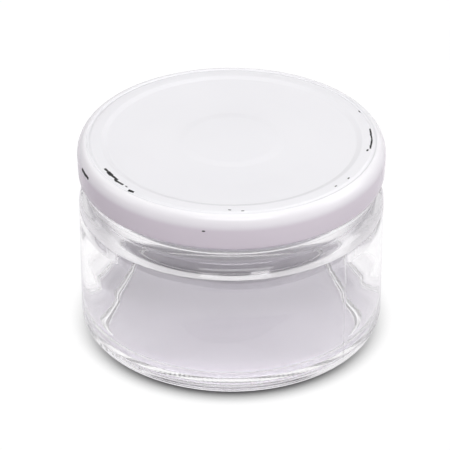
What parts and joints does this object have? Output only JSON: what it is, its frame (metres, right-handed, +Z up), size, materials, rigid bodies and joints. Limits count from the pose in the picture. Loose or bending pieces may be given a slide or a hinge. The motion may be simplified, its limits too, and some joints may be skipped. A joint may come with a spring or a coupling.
{
  "type": "wide-mouth preserving jar",
  "caption": "Squat wide-mouth clear glass preserving jar with a low screw-on metal lid, rolled edge and rubbery sealing ring.",
  "frame": {"origin": "centre of the resting ring, on the surface that the jar stands on", "axes": "+Z up along the jar's axis; the body, neck and lid are round about it"},
  "size_m": [0.0862, 0.0862, 0.0581],
  "materials": {
    "clear_glass": "fire-polished, clear",
    "white_enamel": "gloss white enamel on tinplate",
    "seal_compound": "smooth satin compound"
  },
  "bodies": {
    "jar": {"glass_jar": "clear_glass"},
    "seal": {"sealing_ring": "seal_compound"},
    "lid": {"lid_shell": "white_enamel"}
  },
  "joints": [
    {"name": "lid_rise", "type": "slide", "parent": "jar", "child": "seal", "axis": [0, 0, 1], "range_m": [0, 0.0153]},
    {"name": "lid_turn", "type": "hinge", "parent": "seal", "child": "lid", "pos_m": [0, 0, 0.05], "axis": [0, 0, 1], "range_deg": [0, 260]}
  ],
  "couplings": [
    {"joint": "lid_rise", "follows": "lid_turn", "m_per_rad": 0.0033423}
  ]
}
